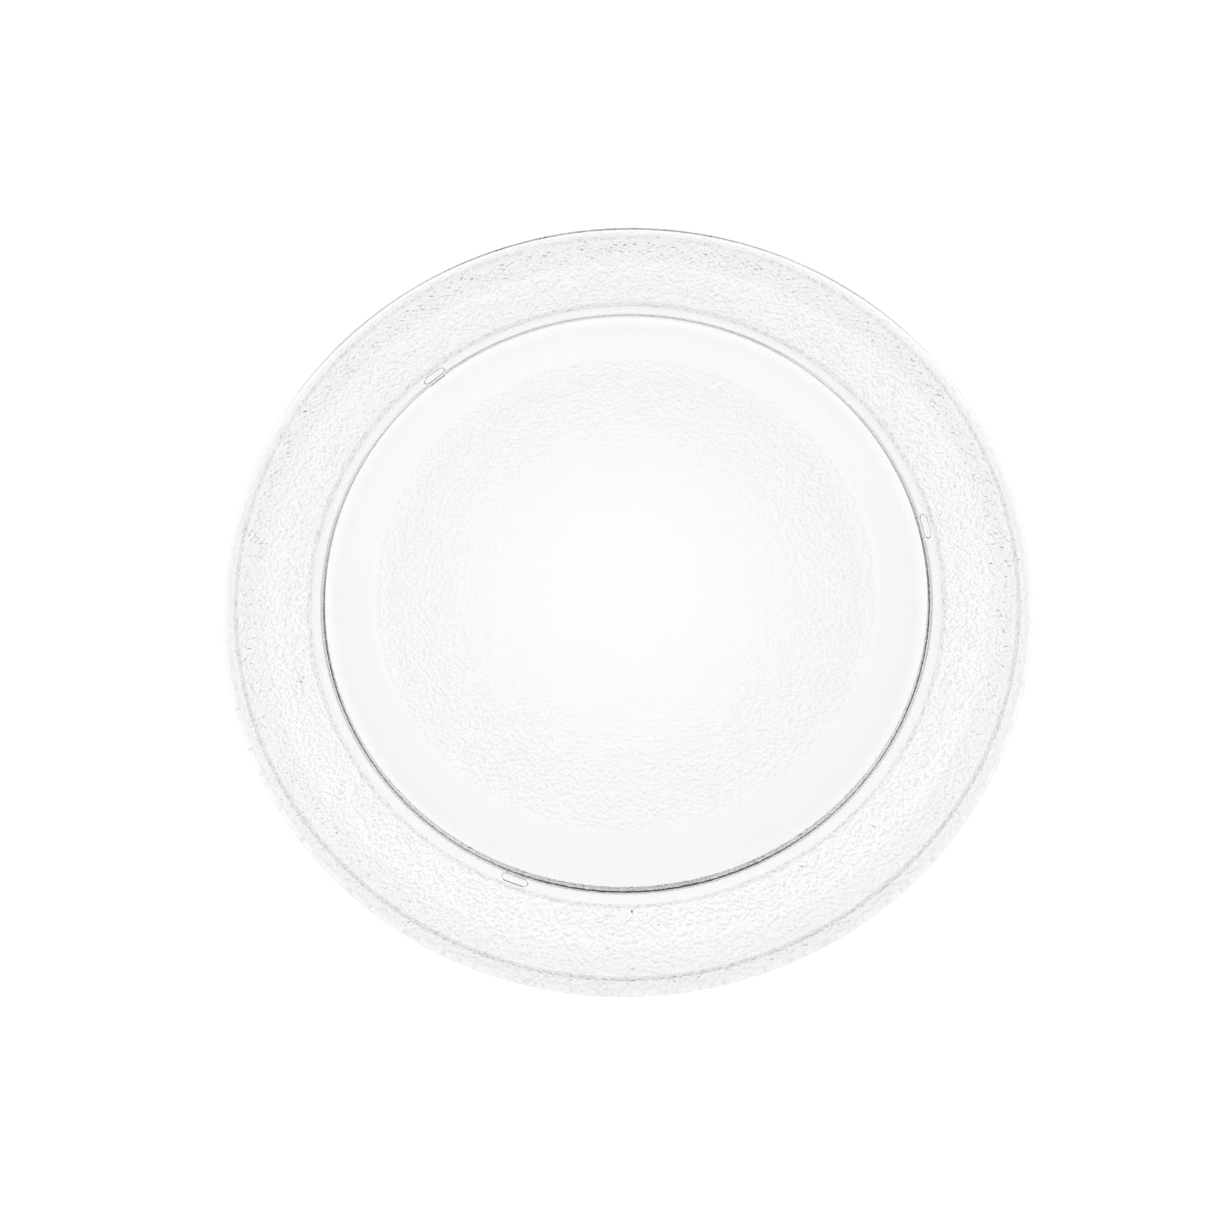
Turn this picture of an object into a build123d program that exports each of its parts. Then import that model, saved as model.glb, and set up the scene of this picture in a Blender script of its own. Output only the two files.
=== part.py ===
from build123d import *
import math
import os

# Turntable plate of a microwave oven, pressed in one piece from clear glass.
# Millimetres, +Z up. The plate stands on its pads, and the origin is on the table under its middle.
# Widths follow each other outwards from the roller track, and heights upwards from the table.

# Floor: a flat disc with a roller track and a recessed field for the stipple on its underside
FLOOR_THICKNESS = 4.2
TRACK_DIAMETER = 185.0
TRACK_WIDTH = 14.5
FIELD_RECESS = 0.25
FIELD_STEP_WIDTH = 0.6

# Bead: the ridge round the track, which keeps the plate on its rollers
BEAD_HEIGHT = 3.2
BEAD_INNER_WIDTH = 2.0
BEAD_CROWN_WIDTH = 2.8
BEAD_OUTER_WIDTH = 1.4
BEAD_OUTER_RISE = 0.9
BEAD_CHAMFER = 0.2

# Pads: the pips along the inner edge of the bead's crown, which the plate stands on
PAD_COUNT = 3
PAD_INSET = 0.1
PAD_LENGTH = 8.0
PAD_WIDTH = 2.2
PAD_HEIGHT = 0.7
PAD_CHAMFER = 0.25
PAD_BEARING_DEG = 4.7

# Rim: a gentle apron, a steeper wall, a narrow ridge along the wall's top edge and a lip outside it
APRON_WIDTH = 11.2
APRON_RISE = 1.8
APRON_RADIUS = 25.0
WALL_WIDTH = 7.3
WALL_RISE = 2.6
BEND_RADIUS = 12.0
RIM_THICKNESS = 4.5
RIDGE_HEIGHT = 1.0
RIDGE_FLANK_WIDTH = 0.45
RIDGE_CROWN_WIDTH = 0.3
LIP_WIDTH = 4.1
LIP_FALL = 0.2
LIP_EDGE_HEIGHT = 4.0
LIP_RADIUS = 1.5
LIP_CHAMFER = 1.2

# A round or a chamfer takes at most this share of a short side next to it
CORNER_SHARE = 0.45

# Radii, from the middle outwards
track_radius = TRACK_DIAMETER / 2
step_radius = track_radius - TRACK_WIDTH
field_radius = step_radius - FIELD_STEP_WIDTH
crown_inner_radius = track_radius + BEAD_INNER_WIDTH
crown_outer_radius = crown_inner_radius + BEAD_CROWN_WIDTH
bead_radius = crown_outer_radius + BEAD_OUTER_WIDTH
bend_radius = bead_radius + APRON_WIDTH
wall_radius = bend_radius + WALL_WIDTH
ridge_inner_radius = wall_radius + RIDGE_FLANK_WIDTH
ridge_outer_radius = ridge_inner_radius + RIDGE_CROWN_WIDTH
lip_radius = ridge_outer_radius + RIDGE_FLANK_WIDTH
plate_radius = lip_radius + LIP_WIDTH

# Heights, from the table upwards
crown_z = PAD_HEIGHT
foot_z = crown_z + BEAD_OUTER_RISE
track_z = crown_z + BEAD_HEIGHT
field_z = track_z + FIELD_RECESS
floor_z = track_z + FLOOR_THICKNESS
bend_z = floor_z + APRON_RISE
wall_z = bend_z + WALL_RISE
ridge_z = wall_z + RIDGE_HEIGHT
lip_top_z = wall_z - LIP_FALL
lip_bottom_z = lip_top_z - LIP_EDGE_HEIGHT
bend_under_z = bend_z - RIM_THICKNESS


def limited(size, *sides):
    """Returns the size of a round or a chamfer, or less where a short side beside it leaves too little room."""
    return min(size, *(CORNER_SHARE * side for side in sides))


def chamfered(before, corner, after, size):
    """Returns the two points that cut off a corner of the section, each that far from the corner."""
    return [Vector(corner) + (Vector(end) - Vector(corner)).normalized() * size for end in (before, after)]


def plate_section():
    """Returns half of the plate's section, from the underside's middle round the rim to the top's middle."""
    underside_middle = (0, field_z)
    inner_root = (track_radius, track_z)
    inner_crown = (crown_inner_radius, crown_z)
    outer_crown = (crown_outer_radius, crown_z)
    outer_root = (bead_radius, foot_z)
    under_bend = (bend_radius, bend_under_z)
    lip_bottom = (plate_radius, lip_bottom_z)
    lip_top = (plate_radius, lip_top_z)
    top_bend = (bend_radius, bend_z)
    floor_edge = (bead_radius, floor_z)
    top_middle = (0, floor_z)
    crown_cut = limited(BEAD_CHAMFER, BEAD_HEIGHT, BEAD_CROWN_WIDTH)
    lip_cut = limited(LIP_CHAMFER, LIP_EDGE_HEIGHT)
    points = [
        underside_middle,
        (field_radius, field_z),
        (step_radius, track_z),
        inner_root,
        *chamfered(inner_root, inner_crown, outer_crown, crown_cut),
        outer_crown,
        outer_root,
        under_bend,
        *chamfered(under_bend, lip_bottom, lip_top, lip_cut),
        lip_top,
        (lip_radius, wall_z),
        (ridge_outer_radius, ridge_z),
        (ridge_inner_radius, ridge_z),
        (wall_radius, wall_z),
        top_bend,
        floor_edge,
        top_middle,
    ]
    rounds = {
        lip_top: limited(LIP_RADIUS, LIP_EDGE_HEIGHT, LIP_WIDTH),
        top_bend: BEND_RADIUS,
        floor_edge: APRON_RADIUS,
    }
    with BuildSketch(Plane.XZ) as section:
        with BuildLine():
            FilletPolyline(*points, radius=[rounds.get(tuple(point), 0) for point in points[1:-1]])
            Line(top_middle, underside_middle)
        make_face()
    return section.sketch


def standing_pads():
    """Returns the pads, curved along the bead and rooted in it, with chamfered feet."""
    path_radius = crown_inner_radius + PAD_INSET + PAD_WIDTH / 2
    path_length = PAD_LENGTH - PAD_WIDTH
    path_angle = math.degrees(path_length / path_radius)
    with BuildPart() as pads:
        with BuildSketch():
            with PolarLocations(0, PAD_COUNT, start_angle=PAD_BEARING_DEG):
                SlotArc(CenterArc((0, 0), path_radius, -path_angle / 2, path_angle), PAD_WIDTH)
        extrude(amount=PAD_HEIGHT + BEAD_HEIGHT / 2)
        feet = pads.faces().filter_by_position(Axis.Z, 0, 0)
        chamfer(feet.edges(), limited(PAD_CHAMFER, PAD_HEIGHT, PAD_WIDTH))
    return pads.part


def glass_plate():
    """Returns the whole plate as one solid."""
    return revolve(plate_section(), Axis.Z) + standing_pads()


os.makedirs("parts", exist_ok=True)
plate = glass_plate()
export_step(plate, "parts/glass_plate.step")
print(f"plate diameter {2 * plate_radius:.1f} mm, height {ridge_z:.1f} mm, volume {plate.volume / 1000:.1f} cm3")
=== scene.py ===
import logging
import math
import random
from dataclasses import dataclass
from enum import IntEnum

import bmesh
import bpy
from mathutils import Matrix, Vector


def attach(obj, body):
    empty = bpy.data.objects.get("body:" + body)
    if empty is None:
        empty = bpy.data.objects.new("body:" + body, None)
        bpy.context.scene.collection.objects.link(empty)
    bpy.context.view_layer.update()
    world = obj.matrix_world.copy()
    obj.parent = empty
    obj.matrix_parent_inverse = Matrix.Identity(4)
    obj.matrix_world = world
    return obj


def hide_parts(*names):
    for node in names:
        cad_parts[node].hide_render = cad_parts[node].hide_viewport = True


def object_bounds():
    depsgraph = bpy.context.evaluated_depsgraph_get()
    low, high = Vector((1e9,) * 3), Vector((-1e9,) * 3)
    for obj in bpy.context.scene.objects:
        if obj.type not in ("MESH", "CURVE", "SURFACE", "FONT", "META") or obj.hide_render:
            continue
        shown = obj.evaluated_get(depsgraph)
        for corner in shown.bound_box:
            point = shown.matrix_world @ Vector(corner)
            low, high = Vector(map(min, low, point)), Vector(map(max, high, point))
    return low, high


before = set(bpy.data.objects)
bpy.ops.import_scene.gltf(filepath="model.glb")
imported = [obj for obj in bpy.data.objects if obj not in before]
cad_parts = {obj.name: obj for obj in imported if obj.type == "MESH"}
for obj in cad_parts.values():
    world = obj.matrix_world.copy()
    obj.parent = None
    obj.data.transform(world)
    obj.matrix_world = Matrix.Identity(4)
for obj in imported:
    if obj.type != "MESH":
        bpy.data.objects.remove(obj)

log = logging.getLogger("turntable_plate")

MM = 0.001
CAD_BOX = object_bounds()
WELD_MM = 0.01
TOLERANCE_MM = 0.05
WHITE = (1.0, 1.0, 1.0, 1.0)


class Surface(IntEnum):
    """The kinds of surface that the mould leaves on the glass, numbered as the plate's materials."""

    SMOOTH = 0
    FIELD = 1
    RIM = 2
    # The ridge and the bead's foot, whose finish is painted shade.
    EDGE = 3


class Net(IntEnum):
    """The kinds of vertex in a net of pebbles."""

    NONE = 0
    PEBBLE = 1
    VALLEY = 2


@dataclass(frozen=True)
class Corner:
    """A corner of the plate's section, in millimetres."""

    radius: float
    height: float
    round: float = 0.0
    segments: int = 1


@dataclass(frozen=True)
class NetPoint:
    """A net's point before it is pressed: its place, the way out of the glass and its depth, in metres."""

    place: Vector
    way: Vector
    depth: float


@dataclass(frozen=True)
class ClearGlass:
    """Clear pressed glass, smooth or with the fine grain of a stippled mould. Sizes in millimetres.

    Grained glass carries painted shade in its base colour, in place of the light that its grain turns
    aside.
    Its steep slopes are darker by the shade, which grows from none to all between two radii, and the rest
    of it is darker by the dim in the same way.
    """

    name: str
    ior: float = 1.5
    clarity: float = 0.97
    roughness: float = 0.0
    grain: float = 0.0
    grain_depth: float = 0.0
    grain_distortion: float = 0.6
    steep_slopes: tuple[float, float] = (-0.12, -0.02)
    shade: float = 0.0
    shade_radii: tuple[float, float] = (20.0, 60.0)
    dim: float = 0.0
    dim_radii: tuple[float, float] = (110.0, 116.0)

    def material(self) -> bpy.types.Material:
        """Makes the glass.

        Returns:
            The new material.
        """
        material = bpy.data.materials.new(self.name)
        material.use_nodes = True
        shader = material.node_tree.nodes["Principled BSDF"]
        shader.inputs["Base Color"].default_value = (self.clarity, self.clarity, self.clarity, 1.0)
        shader.inputs["Roughness"].default_value = self.roughness
        shader.inputs["IOR"].default_value = self.ior
        shader.inputs["Transmission Weight"].default_value = 1.0
        if self.grain:
            self.add_grain(material.node_tree, shader)
        return material

    def add_grain(self, tree: bpy.types.NodeTree, shader: bpy.types.Node) -> None:
        """Adds the grain's relief, and painted shade in its base colour.

        Args:
            tree: The material's nodes.
            shader: The glass shader.
        """
        place = tree.nodes.new("ShaderNodeTexCoord").outputs["Object"]
        here = self.height(tree, place)
        beside = self.height(tree, self.step_outward(tree, place))
        bump = tree.nodes.new("ShaderNodeBump")
        bump.inputs["Strength"].default_value = 1.0
        bump.inputs["Distance"].default_value = self.grain_depth * MM
        tree.links.new(here, bump.inputs["Height"])
        tree.links.new(bump.outputs["Normal"], shader.inputs["Normal"])
        slope = tree.nodes.new("ShaderNodeMath")
        slope.operation = "SUBTRACT"
        tree.links.new(here, slope.inputs[0])
        tree.links.new(beside, slope.inputs[1])
        # Painted shade: the base colour is darker where the grain falls steeply, in place of the light that
        # it turns aside.
        shaded_colour = self.painted_shade_colour(tree, place, slope.outputs["Value"])
        tree.links.new(shaded_colour, shader.inputs["Base Color"])

    def height(self, tree: bpy.types.NodeTree, place: bpy.types.NodeSocket) -> bpy.types.NodeSocket:
        """Makes the grain's height at a place.

        Args:
            tree: The material's nodes.
            place: The place.

        Returns:
            The height, from 0 to 1.
        """
        noise = tree.nodes.new("ShaderNodeTexNoise")
        noise.inputs["Scale"].default_value = 1.0 / (self.grain * MM)
        noise.inputs["Detail"].default_value = 1.0
        noise.inputs["Distortion"].default_value = self.grain_distortion
        tree.links.new(place, noise.inputs["Vector"])
        return noise.outputs["Fac"]

    def step_outward(self, tree: bpy.types.NodeTree, place: bpy.types.NodeSocket) -> bpy.types.NodeSocket:
        """Moves a place away from the plate's middle by half a grain.

        Args:
            tree: The material's nodes.
            place: The place.

        Returns:
            The place beside it.
        """
        step = 0.5 * self.grain * MM
        outward = tree.nodes.new("ShaderNodeVectorMath")
        outward.operation = "NORMALIZE"
        tree.links.new(place, outward.inputs[0])
        beside = tree.nodes.new("ShaderNodeVectorMath")
        beside.operation = "MULTIPLY_ADD"
        beside.inputs[1].default_value = (step, step, step)
        tree.links.new(outward.outputs["Vector"], beside.inputs[0])
        tree.links.new(place, beside.inputs[2])
        return beside.outputs["Vector"]

    def painted_shade_colour(self, tree: bpy.types.NodeTree, place: bpy.types.NodeSocket,
                     slope: bpy.types.NodeSocket) -> bpy.types.NodeSocket:
        """Makes the painted shade: a base colour that is darker on the grain's steep slopes and darker
        still by the dim.

        Args:
            tree: The material's nodes.
            place: The place.
            slope: The grain's fall from there outwards.

        Returns:
            The painted shade's colour, from 0 to 1.
        """
        radius = tree.nodes.new("ShaderNodeVectorMath")
        radius.operation = "LENGTH"
        tree.links.new(place, radius.inputs[0])
        shaded_colour = tree.nodes.new("ShaderNodeMapRange")
        shaded_colour.inputs["From Min"].default_value = self.steep_slopes[0]
        shaded_colour.inputs["From Max"].default_value = self.steep_slopes[1]
        tree.links.new(slope, shaded_colour.inputs["Value"])
        # Painted shade: the steep slopes are darker by the shade and the rest by the dim, each growing
        # between its two radii.
        painted_darkenings = [("To Min", self.shade_radii, self.shade), ("To Max", self.dim_radii, self.dim)]
        for socket, (inner, outer), darkening in painted_darkenings:
            share = tree.nodes.new("ShaderNodeMapRange")
            share.inputs["From Min"].default_value = inner * MM
            share.inputs["From Max"].default_value = outer * MM
            share.inputs["To Min"].default_value = 1.0
            share.inputs["To Max"].default_value = 1.0 - darkening
            tree.links.new(radius.outputs["Value"], share.inputs["Value"])
            tree.links.new(share.outputs["Result"], shaded_colour.inputs[socket])
        return shaded_colour.outputs["Result"]


# Painted shade: the field and rim finishes darken the grain's steep slopes, the rim's also darkens towards
# the wall, and the edge finish darkens the ridge and the bead's foot all over.
FINISHES = {
    Surface.SMOOTH: ClearGlass("smooth_glass"),
    Surface.FIELD: ClearGlass("field_glass", grain=1.05, grain_depth=0.12, shade=0.24),
    Surface.RIM: ClearGlass("rim_glass", roughness=0.15, grain=1.05, grain_depth=0.12, shade=0.32, dim=0.1),
    Surface.EDGE: ClearGlass("edge_glass", grain=1.05, grain_depth=0.06, shade=0.5, shade_radii=(0.0, 1.0),
                             dim=0.2, dim_radii=(0.0, 1.0)),
}


@dataclass(frozen=True)
class Stipple:
    """A zone of pebbles that the mould presses into the underside. Sizes in millimetres."""

    inner: float
    outer: float
    depth: float
    fade: float

    def depth_at(self, radius: float) -> float:
        """Gives the pebbles' depth, which fades towards the zone's edges."""
        inside = round(min(radius - self.inner, self.outer - radius), 3)
        return self.depth * min(1.0, max(0.0, inside / self.fade))


@dataclass
class GlassPlate:
    """The pressed plate: one turned skin with a stippled underside and three pads. Sizes in millimetres."""

    table_z: float = round(CAD_BOX[0][2] / MM, 3)
    plate_radius: float = round(CAD_BOX[1][0] / MM, 3)
    lip_width: float = 4.1
    lip_fall: float = 0.2
    lip_edge: float = 4.0
    lip_round: float = 1.5
    ridge_top: float = round(CAD_BOX[1][2] / MM, 3)
    ridge_height: float = 1.0
    ridge_flank: float = 0.45
    ridge_crown: float = 0.3
    ridge_round: float = 0.15
    ridge_foot_round: float = 0.12
    wall_width: float = 7.3
    wall_rise: float = 2.6
    bend_round: float = 12.0
    apron_width: float = 11.2
    apron_rise: float = 1.8
    apron_round: float = 25.0
    rim_thickness: float = 4.5
    floor_thickness: float = 4.2
    floor_margin: float = 4.7
    bead_height: float = 3.2
    bead_outer_width: float = 1.4
    bead_outer_rise: float = 0.9
    bead_crown_width: float = 2.8
    bead_inner_width: float = 2.0
    bead_round: float = 0.15
    track_width: float = 14.5
    track_round: float = 0.25
    field_recess: float = 0.25
    field_step: float = 0.6
    field_step_round: float = 0.2
    field_margin: float = 0.8
    pad_count: int = 3
    pad_bearing_deg: float = 4.7
    pad_inset: float = 0.1
    pad_length: float = 8.0
    pad_width: float = 2.2
    pad_chamfer: float = 0.25
    turns: int = 690
    sectors: int = 15
    field_rings: int = 60
    net_edge_margin: float = 1.1
    net_headroom: float = 1.5
    pebble_rise: float = 0.4
    pebble_shoulder: float = 0.75
    pebble_shoulder_rise: float = 0.2
    valley_fall: float = 0.6
    pebble_depths: tuple[float, float] = (0.8, 1.0)
    pebble_jitter: float = 0.38
    pebble_seed: int = 11
    stipples: tuple[Stipple, ...] = (
        Stipple(-9.0, 76.0, 0.12, 2.0),
        Stipple(98.7, 109.8, 0.12, 2.0),
        Stipple(110.2, 121.4, 0.3, 3.5),
    )

    def __post_init__(self) -> None:
        """Works out the radii from the plate's edge inwards and the heights from its ridge downwards."""
        self.lip_radius = self.plate_radius - self.lip_width
        self.ridge_outer = self.lip_radius - self.ridge_flank
        self.ridge_inner = self.ridge_outer - self.ridge_crown
        self.wall_radius = self.ridge_inner - self.ridge_flank
        self.bend_radius = self.wall_radius - self.wall_width
        self.bead_radius = self.bend_radius - self.apron_width
        self.crown_outer = self.bead_radius - self.bead_outer_width
        self.crown_inner = self.crown_outer - self.bead_crown_width
        self.track_radius = self.crown_inner - self.bead_inner_width
        self.step_radius = self.track_radius - self.track_width
        self.field_radius = self.step_radius - self.field_step
        self.net_radius = self.field_radius - self.field_margin
        self.floor_ring = self.bead_radius - self.floor_margin
        self.pad_radius = self.crown_inner + self.pad_inset + self.pad_width / 2
        self.wall_z = self.ridge_top - self.ridge_height
        self.lip_top_z = self.wall_z - self.lip_fall
        self.lip_bottom_z = self.lip_top_z - self.lip_edge
        self.bend_z = self.wall_z - self.wall_rise
        self.bend_under_z = self.bend_z - self.rim_thickness
        self.floor_z = self.bend_z - self.apron_rise
        self.track_z = self.floor_z - self.floor_thickness
        self.field_z = self.track_z + self.field_recess
        self.crown_z = self.track_z - self.bead_height
        self.foot_z = self.crown_z + self.bead_outer_rise
        self.pad_height = self.crown_z - self.table_z
        self.net_step = math.tau * self.bend_radius / self.turns

    def section(self) -> list[Corner]:
        """Lists the section's corners from the field's edge, round the bead and rim, to the floor's top.

        Returns:
            The corners in order.
        """
        pad_rows = [self.pad_radius + self.pad_width * share for share in (-0.5, -0.25, 0.0, 0.25, 0.5)]
        return [
            Corner(self.field_radius, self.field_z),
            Corner(self.step_radius, self.track_z, self.field_step_round, 1),
            Corner(self.track_radius, self.track_z, self.track_round, 2),
            Corner(self.crown_inner, self.crown_z, self.bead_round, 2),
            *(Corner(radius, self.crown_z) for radius in pad_rows),
            Corner(self.crown_outer, self.crown_z),
            Corner(self.bead_radius, self.foot_z),
            Corner(self.bend_radius, self.bend_under_z),
            Corner(self.plate_radius, self.lip_bottom_z, self.lip_round, 4),
            Corner(self.plate_radius, self.lip_top_z, self.lip_round, 5),
            Corner(self.lip_radius, self.wall_z, self.ridge_foot_round, 1),
            Corner(self.ridge_outer, self.ridge_top, self.ridge_round, 2),
            Corner(self.ridge_inner, self.ridge_top, self.ridge_round, 2),
            Corner(self.wall_radius, self.wall_z, self.ridge_foot_round, 1),
            Corner(self.bend_radius, self.bend_z, self.bend_round, 3),
            Corner(self.bead_radius, self.floor_z, self.apron_round, 4),
            Corner(self.floor_ring, self.floor_z),
        ]

    @staticmethod
    def round_corner(mesh: bmesh.types.BMesh, point: bmesh.types.BMVert, corner: Corner) -> None:
        """Rounds one corner of a wire.

        Args:
            mesh: The wire.
            point: The corner's vertex.
            corner: The round's radius and number of segments.
        """
        ends = [edge.other_vert(point).co - point.co for edge in point.link_edges]
        half_turn = ends[0].angle(ends[1]) / 2
        reach = corner.round * MM / math.tan(half_turn)
        bmesh.ops.bevel(mesh, geom=[point], offset=reach, offset_type="OFFSET", segments=corner.segments,
                        profile=0.5, affect="VERTICES", material=-1)

    def under_rim(self, place: Vector) -> bool:
        """Tells whether a place lies on the stippled underside of the rim.

        Args:
            place: The place, in metres.

        Returns:
            Whether it does.
        """
        radius = place.xy.length / MM
        run = (radius - self.bead_radius) / (self.plate_radius - self.bead_radius)
        ceiling = self.foot_z + self.net_headroom + run * (self.lip_bottom_z - self.foot_z)
        inside = self.crown_outer - TOLERANCE_MM < radius < self.plate_radius - self.net_edge_margin
        return inside and place.z / MM < ceiling

    def profile(self, mesh: bmesh.types.BMesh) -> list[bmesh.types.BMVert]:
        """Draws the section as a wire with rounded corners and even steps under the rim.

        Args:
            mesh: The mesh that takes the wire.

        Returns:
            The wire's vertices in order, numbered in the mesh's row layer.
        """
        corners = self.section()
        points = [mesh.verts.new((corner.radius * MM, 0.0, corner.height * MM)) for corner in corners]
        for start, end in zip(points, points[1:]):
            mesh.edges.new((start, end))
        for corner, point in zip(corners, points):
            if corner.round:
                self.round_corner(mesh, point, corner)
        row_step = self.net_step * math.cos(math.pi / 6)
        for edge in [edge for edge in mesh.edges if all(self.under_rim(vert.co) for vert in edge.verts)]:
            cuts = round(edge.calc_length() / MM / row_step) - 1
            if edge.is_wire and cuts > 0:
                bmesh.ops.subdivide_edges(mesh, edges=[edge], cuts=cuts)
        row = mesh.verts.layers.int["row"]
        ends = [vert for vert in mesh.verts if vert.is_wire and len(vert.link_edges) == 1]
        wire = [min(ends, key=lambda vert: vert.co.z)]
        ahead = wire
        while ahead:
            around = [edge.other_vert(wire[-1]) for edge in wire[-1].link_edges]
            ahead = [vert for vert in around if vert not in wire[-2:]]
            wire += ahead
        for number, vert in enumerate(wire):
            vert[row] = number + 1
        return wire

    def turn(self, mesh: bmesh.types.BMesh) -> None:
        """Turns the section round the plate's axis by sectors and staggers the rows under the rim.

        Args:
            mesh: The mesh that takes the turned faces.
        """
        verts = self.profile(mesh)
        net_rows = [number + 1 for number, vert in enumerate(verts) if self.under_rim(vert.co)]
        edges = [edge for edge in mesh.edges if edge.is_wire]
        start = Matrix.Rotation(math.radians(self.pad_bearing_deg), 4, "Z")
        bmesh.ops.transform(mesh, matrix=start, verts=verts)
        before = set(mesh.faces)
        sector = math.tau / self.sectors
        bmesh.ops.spin(mesh, geom=verts + edges, cent=(0, 0, 0), axis=(0, 0, 1), dvec=(0, 0, 0),
                       angle=sector, steps=self.turns // self.sectors)
        faces = [face for face in mesh.faces if face not in before]
        for number in range(1, self.sectors):
            copy = bmesh.ops.duplicate(mesh, geom=faces)
            moved = [item for item in copy["geom"] if isinstance(item, bmesh.types.BMVert)]
            turned = Matrix.Rotation(number * sector, 3, "Z")
            bmesh.ops.rotate(mesh, verts=moved, cent=(0, 0, 0), matrix=turned)
        bmesh.ops.remove_doubles(mesh, verts=mesh.verts, dist=WELD_MM * MM)
        self.stagger(mesh, net_rows[0], net_rows[-1])

    def stagger(self, mesh: bmesh.types.BMesh, first: int, last: int) -> None:
        """Turns each row under the rim by half a step more than the one before and cuts it into triangles.

        Args:
            mesh: The turned faces.
            first: The net's first row.
            last: The net's last row.
        """
        row = mesh.verts.layers.int["row"]
        order = mesh.verts.layers.int["order"]
        kind = mesh.verts.layers.int["kind"]
        step = math.tau / self.turns
        bearing = math.radians(self.pad_bearing_deg)
        for vert in mesh.verts:
            number = vert[row] - first
            if number < 0:
                continue
            angle = math.atan2(vert.co.y, vert.co.x) - bearing
            place = round(angle / step)
            shift = min(number, last - first) * step / 2
            vert.co = Matrix.Rotation(shift, 3, "Z") @ vert.co
            if number <= last - first:
                vert[order] = place % self.turns
                vert[kind] = Net.PEBBLE if (place - number) % 3 == 0 else Net.VALLEY
        quads = [face for face in mesh.faces if all(first <= vert[row] <= last for vert in face.verts)]
        bmesh.ops.triangulate(mesh, faces=quads, quad_method="SHORT_EDGE")

    def field(self, mesh: bmesh.types.BMesh) -> None:
        """Lays the underside inside the roller track as an even net of triangles.

        Args:
            mesh: The mesh that takes the net, empty so far.
        """
        place = Matrix.Translation((0, 0, self.field_z * MM))
        bmesh.ops.create_circle(mesh, cap_ends=True, cap_tris=True, segments=6, radius=self.net_radius * MM,
                                matrix=place)
        bmesh.ops.subdivide_edges(mesh, edges=mesh.edges[:], cuts=self.field_rings - 1, use_grid_fill=True)
        order = mesh.verts.layers.int["order"]
        kind = mesh.verts.layers.int["kind"]
        side = math.tau / 6
        step = self.net_radius * MM / self.field_rings
        for vert in mesh.verts:
            up = round(vert.co.x / (step * math.cos(math.pi / 6)))
            along = round(vert.co.y / step - up / 2)
            vert[order] = up * self.turns + along
            vert[kind] = Net.PEBBLE if (along - up) % 3 == 0 else Net.VALLEY
            angle = math.atan2(vert.co.x, vert.co.y) % math.tau
            across = angle % side - side / 2
            ring = math.hypot(vert.co.x, vert.co.y) * math.cos(across) / math.cos(side / 2)
            share = math.tan(across) / (2 * math.tan(side / 2))
            turn = (angle // side + 0.5 + share) * side
            vert.co.x = ring * math.cos(turn)
            vert.co.y = ring * math.sin(turn)

    def join(self, mesh: bmesh.types.BMesh) -> None:
        """Closes the skin: bridges the field to the turned part and fills the floor's top.

        Args:
            mesh: The field and the turned part.
        """
        middle_z = (self.floor_z - self.floor_thickness / 2) * MM
        open_edges = [edge for edge in mesh.edges if edge.is_boundary]
        bmesh.ops.bridge_loops(mesh, edges=[edge for edge in open_edges if edge.verts[0].co.z < middle_z])
        cap = bmesh.ops.edgeloop_fill(mesh, edges=[edge for edge in mesh.edges if edge.is_boundary])
        bmesh.ops.poke(mesh, faces=cap["faces"])
        bmesh.ops.recalc_face_normals(mesh, faces=mesh.faces)

    @staticmethod
    def turn_from(middle: float, place: Vector) -> float:
        """Gives the turn about the plate's axis from a bearing to a place, by half a turn at most."""
        return (math.atan2(place.y, place.x) - middle + math.pi) % math.tau - math.pi

    def pads(self, mesh: bmesh.types.BMesh) -> None:
        """Raises the pads from the bead's crown.

        Args:
            mesh: The closed skin, still smooth.
        """
        bearing = math.radians(self.pad_bearing_deg)
        half = self.pad_length / 2
        end_round = self.pad_width / 2
        face_turn = math.tau / self.turns
        half_turn = math.ceil(half / (self.pad_radius * face_turn)) * face_turn
        for number in range(self.pad_count):
            middle = bearing + number * math.tau / self.pad_count
            region = []
            for face in mesh.faces:
                spot = face.calc_center_median()
                on_crown = spot.z / MM < self.crown_z + TOLERANCE_MM
                inside = abs(spot.xy.length / MM - self.pad_radius) < end_round
                if on_crown and inside and abs(self.turn_from(middle, spot)) < half_turn:
                    region.append(face)
            for vert in {vert for face in region for vert in face.verts}:
                radius = vert.co.xy.length / MM
                share = self.turn_from(middle, vert.co) / half_turn
                off = min(end_round, abs(radius - self.pad_radius))
                reach = half - end_round + math.sqrt(end_round ** 2 - off ** 2)
                turn = middle + share * reach / self.pad_radius
                vert.co.x = radius * MM * math.cos(turn)
                vert.co.y = radius * MM * math.sin(turn)
            top = bmesh.ops.extrude_face_region(mesh, geom=region)
            bmesh.ops.delete(mesh, geom=region, context="FACES")
            verts = [item for item in top["geom"] if isinstance(item, bmesh.types.BMVert)]
            faces = [item for item in top["geom"] if isinstance(item, bmesh.types.BMFace)]
            drop = (self.pad_height - self.pad_chamfer) * MM
            bmesh.ops.translate(mesh, verts=verts, vec=(0, 0, -drop))
            bmesh.ops.inset_region(mesh, faces=faces, thickness=self.pad_chamfer * MM,
                                   depth=self.pad_chamfer * MM, use_even_offset=True)

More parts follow.
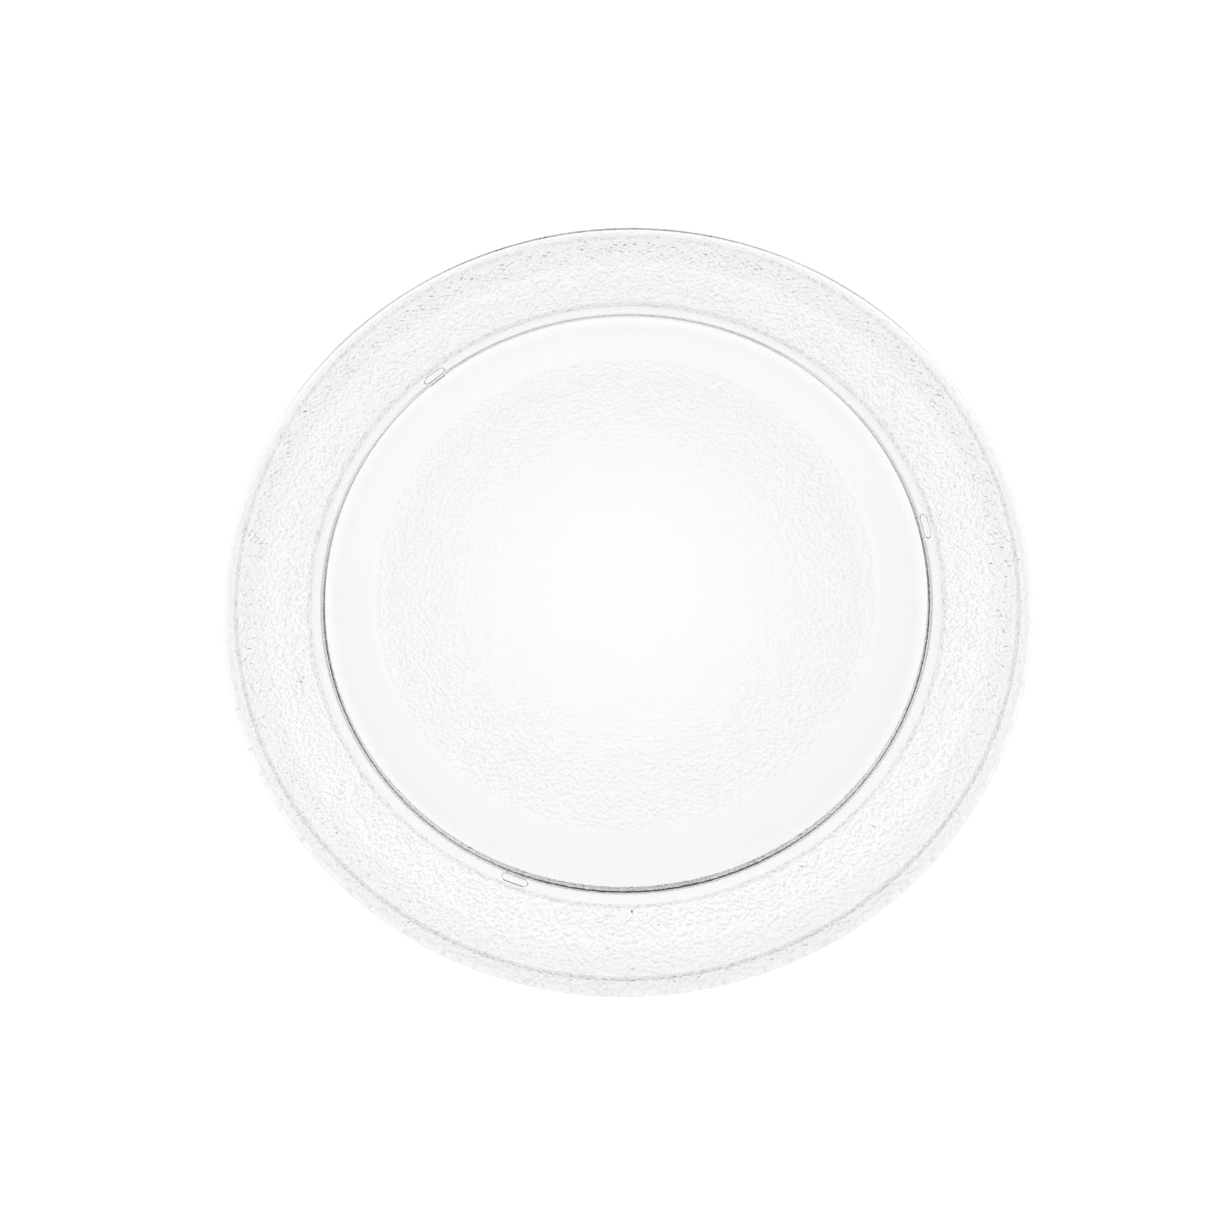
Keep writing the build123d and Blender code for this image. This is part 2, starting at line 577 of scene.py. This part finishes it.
    def net_point(self, vert: bmesh.types.BMVert, chance: random.Random) -> NetPoint:
        """Moves a point of a net a little along the glass and draws its depth.

        Args:
            vert: The net's vertex.
            chance: The source of the uneven places and depths.

        Returns:
            The point.
        """
        out = Vector((vert.co.x, vert.co.y, 0)).normalized()
        along = Vector((-out.y, out.x, 0))
        nudge = along * chance.uniform(-1, 1) + vert.normal.cross(along) * chance.uniform(-1, 1)
        depth = sum(zone.depth_at(vert.co.xy.length / MM) for zone in self.stipples) * MM
        reach = self.pebble_jitter * self.net_step * MM if depth else 0.0
        depth *= chance.uniform(*self.pebble_depths)
        return NetPoint(vert.co + nudge * reach, vert.normal.copy(), depth)

    def press(self, mesh: bmesh.types.BMesh) -> None:
        """Presses the pebbles into the nets, row by row, so that each run draws the same ones.

        Args:
            mesh: The closed skin.
        """
        mesh.normal_update()
        row = mesh.verts.layers.int["row"]
        order = mesh.verts.layers.int["order"]
        kind = mesh.verts.layers.int["kind"]
        number = mesh.verts.layers.int["number"]
        chance = random.Random(self.pebble_seed)
        net = [vert for vert in mesh.verts if vert[kind]]
        net.sort(key=lambda vert: (vert[row], vert[order]))
        points = [self.net_point(vert, chance) for vert in net]
        for count, (vert, point) in enumerate(zip(net, points)):
            vert[number] = count
            level = self.pebble_rise if vert[kind] == Net.PEBBLE else -self.valley_fall
            vert.co = point.place + point.way * (level * point.depth)
        self.flatten_tops(mesh, points)

    def flatten_tops(self, mesh: bmesh.types.BMesh, points: list[NetPoint]) -> None:
        """Gives the pebbles under the rim broad flat tops with steep sides.

        Args:
            mesh: The skin with its pebbles.
            points: The nets' points, by the vertices' numbers.
        """
        row = mesh.verts.layers.int["row"]
        kind = mesh.verts.layers.int["kind"]
        number = mesh.verts.layers.int["number"]
        spokes = []
        for edge in mesh.edges:
            if sorted(vert[kind] for vert in edge.verts) != [Net.PEBBLE, Net.VALLEY]:
                continue
            if all(vert[row] and points[vert[number]].depth for vert in edge.verts):
                spokes.append(edge)
        cut = bmesh.ops.subdivide_edges(mesh, edges=spokes, cuts=1)
        shoulders = [item for item in cut["geom_inner"] if isinstance(item, bmesh.types.BMVert)]
        fresh = set(shoulders)
        tops = []
        for vert in shoulders:
            around = [edge.other_vert(vert) for edge in vert.link_edges]
            ends = [end for end in around if end not in fresh]
            top = next(end for end in ends if end[kind] == Net.PEBBLE)
            valley = next(end for end in ends if end[kind] == Net.VALLEY)
            high = points[top[number]]
            low = points[valley[number]]
            spot = high.place.lerp(low.place, self.pebble_shoulder)
            way = (high.way + low.way).normalized()
            vert.co = spot + way * (self.pebble_shoulder_rise * high.depth)
            tops.append(top)
        for vert in shoulders:
            vert[kind] = Net.PEBBLE
        whole = []
        for top in dict.fromkeys(tops):
            if all(edge.other_vert(top) in fresh for edge in top.link_edges):
                whole.append(top)
        bmesh.ops.dissolve_verts(mesh, verts=whole)

    def sort_faces(self, mesh: bmesh.types.BMesh) -> None:
        """Smooths the faces and gives each one its kind of surface.

        Args:
            mesh: The finished skin.
        """
        kind = mesh.verts.layers.int["kind"]
        for face in mesh.faces:
            face.smooth = True
            spot = face.calc_center_median()
            radius = spot.xy.length / MM
            height = spot.z / MM
            # The ridge and the bead's foot take the edge finish, whose painted shade draws their dark
            # lines.
            on_foot = self.crown_outer < radius < self.bead_radius and height < self.track_z
            if on_foot or height > self.wall_z + TOLERANCE_MM:
                face.material_index = Surface.EDGE
            elif all(vert[kind] for vert in face.verts):
                face.material_index = Surface.RIM if radius > self.track_radius else Surface.FIELD

    def build(self) -> bpy.types.Object:
        """Makes the plate's visual piece.

        Returns:
            The new object.
        """
        mesh = bmesh.new()
        for layer in ("row", "order", "kind", "number"):
            mesh.verts.layers.int.new(layer)
        self.field(mesh)
        self.turn(mesh)
        self.join(mesh)
        self.pads(mesh)
        self.press(mesh)
        self.sort_faces(mesh)
        odd = sum(not edge.is_manifold for edge in mesh.edges)
        volume = mesh.calc_volume(signed=True) / (10 * MM) ** 3
        data = bpy.data.meshes.new("pressed_glass_plate")
        mesh.to_mesh(data)
        mesh.free()
        triangles = sum(len(polygon.vertices) - 2 for polygon in data.polygons)
        log.info("plate: %.1f cm3, %d triangles, %d open or odd edges", volume, triangles, odd)
        piece = bpy.data.objects.new("pressed_glass_plate", data)
        bpy.context.scene.collection.objects.link(piece)
        return piece

    @staticmethod
    def dress(piece: bpy.types.Object) -> None:
        """Gives the piece its finishes and body, and hides the plate's CAD part.

        Args:
            piece: The plate's visual piece.
        """
        for surface in Surface:
            piece.data.materials.append(FINISHES[surface].material())
        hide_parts("glass_plate")
        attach(piece, "root")


@dataclass
class Studio:
    """A white floor in a bright room that is dim overhead and behind the camera, with one soft glow."""

    floor_size_m: float = 40.0
    floor_gap_mm: float = 0.05
    floor_colour: float = 0.98
    floor_lift: float = 0.69
    walls: float = 0.7
    ceiling: float = 0.02
    ceiling_edge_deg: tuple[float, float] = (25.0, 50.0)
    camera_side_deg: float = 40.0
    camera_side_edge_deg: tuple[float, float] = (15.0, 40.0)
    glow: float = 0.62
    glow_tilt_deg: float = 18.0
    glow_edge_deg: tuple[float, float] = (3.0, 16.0)
    bounces: int = 32
    glossy_bounces: int = 24
    diffuse_bounces: int = 4

    def floor(self) -> bpy.types.Object:
        """Lays the floor just under the pads.

        Returns:
            The floor.
        """
        mesh = bmesh.new()
        bmesh.ops.create_grid(mesh, x_segments=1, y_segments=1, size=self.floor_size_m / 2)
        bmesh.ops.translate(mesh, verts=mesh.verts, vec=(0, 0, CAD_BOX[0][2] - self.floor_gap_mm * MM))
        data = bpy.data.meshes.new("floor")
        mesh.to_mesh(data)
        mesh.free()
        data.materials.append(self.floor_material())
        floor = bpy.data.objects.new("floor", data)
        bpy.context.scene.collection.objects.link(floor)
        log.info("floor: %.0f m across", self.floor_size_m)
        return floor

    def floor_material(self) -> bpy.types.Material:
        """Makes the floor's white, which is white to the camera and through the glass but keeps the shadow.

        Returns:
            The new material.
        """
        material = bpy.data.materials.new("white_floor")
        material.use_nodes = True
        nodes = material.node_tree.nodes
        links = material.node_tree.links
        shader = nodes["Principled BSDF"]
        grey = self.floor_colour
        shader.inputs["Base Color"].default_value = (grey, grey, grey, 1.0)
        shader.inputs["Roughness"].default_value = 1.0
        shader.inputs["Specular IOR Level"].default_value = 0.0
        shader.inputs["Emission Color"].default_value = WHITE
        path = nodes.new("ShaderNodeLightPath")
        seen = path.outputs["Is Camera Ray"]
        steps = [
            ("MAXIMUM", "Is Glossy Ray"),
            ("MAXIMUM", "Is Transmission Ray"),
            ("SUBTRACT", "Diffuse Depth"),
        ]
        for operation, ray in steps:
            step = nodes.new("ShaderNodeMath")
            step.operation = operation
            step.use_clamp = True
            links.new(seen, step.inputs[0])
            links.new(path.outputs[ray], step.inputs[1])
            seen = step.outputs["Value"]
        lift = nodes.new("ShaderNodeMath")
        lift.operation = "MULTIPLY"
        lift.inputs[1].default_value = self.floor_lift
        links.new(seen, lift.inputs[0])
        links.new(lift.outputs["Value"], shader.inputs["Emission Strength"])
        return material

    @staticmethod
    def fade(nodes: bpy.types.Nodes, edge_deg: tuple[float, float], inside: float,
             outside: float) -> bpy.types.Node:
        """Makes a soft round patch of the room's light from the cosine of the angle to its middle.

        Args:
            nodes: The world's nodes.
            edge_deg: The angles between which the patch fades.
            inside: The light in the patch.
            outside: The light round it.

        Returns:
            The node, whose Value takes the cosine.
        """
        node = nodes.new("ShaderNodeMapRange")
        node.interpolation_type = "SMOOTHSTEP"
        node.inputs["From Min"].default_value = math.cos(math.radians(edge_deg[1]))
        node.inputs["From Max"].default_value = math.cos(math.radians(edge_deg[0]))
        node.inputs["To Min"].default_value = outside
        node.inputs["To Max"].default_value = inside
        return node

    def world(self) -> None:
        """Fills the room with light."""
        world = bpy.data.worlds.new("studio_room")
        bpy.context.scene.world = world
        world.use_nodes = True
        nodes = world.node_tree.nodes
        links = world.node_tree.links
        overhead = self.fade(nodes, self.ceiling_edge_deg, self.ceiling, self.walls)
        camera_side = self.fade(nodes, self.camera_side_edge_deg, self.ceiling, self.walls)
        glow = self.fade(nodes, self.glow_edge_deg, self.glow, 0.0)
        patches = [
            ("MINIMUM", 0.0, overhead),
            ("MINIMUM", -self.camera_side_deg, camera_side),
            ("ADD", self.glow_tilt_deg, glow),
        ]
        way = nodes.new("ShaderNodeTexCoord").outputs["Generated"]
        light = None
        for operation, tilt_deg, patch in patches:
            tilt = math.radians(tilt_deg)
            cosine = nodes.new("ShaderNodeVectorMath")
            cosine.operation = "DOT_PRODUCT"
            cosine.inputs[1].default_value = (0.0, math.sin(tilt), math.cos(tilt))
            links.new(way, cosine.inputs[0])
            links.new(cosine.outputs["Value"], patch.inputs["Value"])
            total = nodes.new("ShaderNodeMath")
            total.operation = operation
            total.inputs[0].default_value = self.walls
            links.new(patch.outputs["Result"], total.inputs[1])
            if light:
                links.new(light, total.inputs[0])
            light = total.outputs["Value"]
        background = nodes["Background"]
        background.inputs["Color"].default_value = WHITE
        links.new(light, background.inputs["Strength"])

    def light_paths(self) -> None:
        """Sets how often light passes through the glass, and keeps the colours as they are."""
        scene = bpy.context.scene
        scene.view_settings.view_transform = "Standard"
        scene.cycles.max_bounces = self.bounces
        scene.cycles.transmission_bounces = self.bounces
        scene.cycles.glossy_bounces = self.glossy_bounces
        scene.cycles.diffuse_bounces = self.diffuse_bounces
        scene.cycles.blur_glossy = 0.0


@dataclass
class PhotoCamera:
    """The camera at the photograph's place, from a fit to the plate's circles. Sizes in millimetres."""

    lens: float = 36.05
    sensor: float = 36.0
    clip_start: float = 10.0
    distance: float = 375.0
    elevation_deg: float = 72.12
    roll_deg: float = -6.18
    aim: tuple[float, float, float] = (-4.69, -9.66, 4.85)

    def place(self) -> bpy.types.Object:
        """Sets up the camera and makes it the scene's own.

        Returns:
            The camera.
        """
        data = bpy.data.cameras.new("photo_camera")
        data.lens = self.lens
        data.sensor_width = self.sensor
        data.clip_start = self.clip_start * MM
        camera = bpy.data.objects.new("photo_camera", data)
        bpy.context.scene.collection.objects.link(camera)
        lift = math.radians(self.elevation_deg)
        back = Vector((0.0, -math.cos(lift), math.sin(lift)))
        tilt = Matrix.Rotation(math.pi / 2 - lift, 4, "X")
        roll = Matrix.Rotation(math.radians(self.roll_deg), 4, "Z")
        spot = (Vector(self.aim) + back * self.distance) * MM
        camera.matrix_world = Matrix.Translation(spot) @ tilt @ roll
        bpy.context.scene.camera = camera
        log.info("camera: %.0f mm from its aim, %.1f degrees up", self.distance, self.elevation_deg)
        return camera


def main() -> None:
    """Builds the plate, the studio and the camera."""
    logging.basicConfig(level=logging.INFO, format="%(message)s")
    plate = GlassPlate()
    plate.dress(plate.build())
    studio = Studio()
    studio.floor()
    studio.world()
    studio.light_paths()
    PhotoCamera().place()


if __name__ == "__main__":
    main()
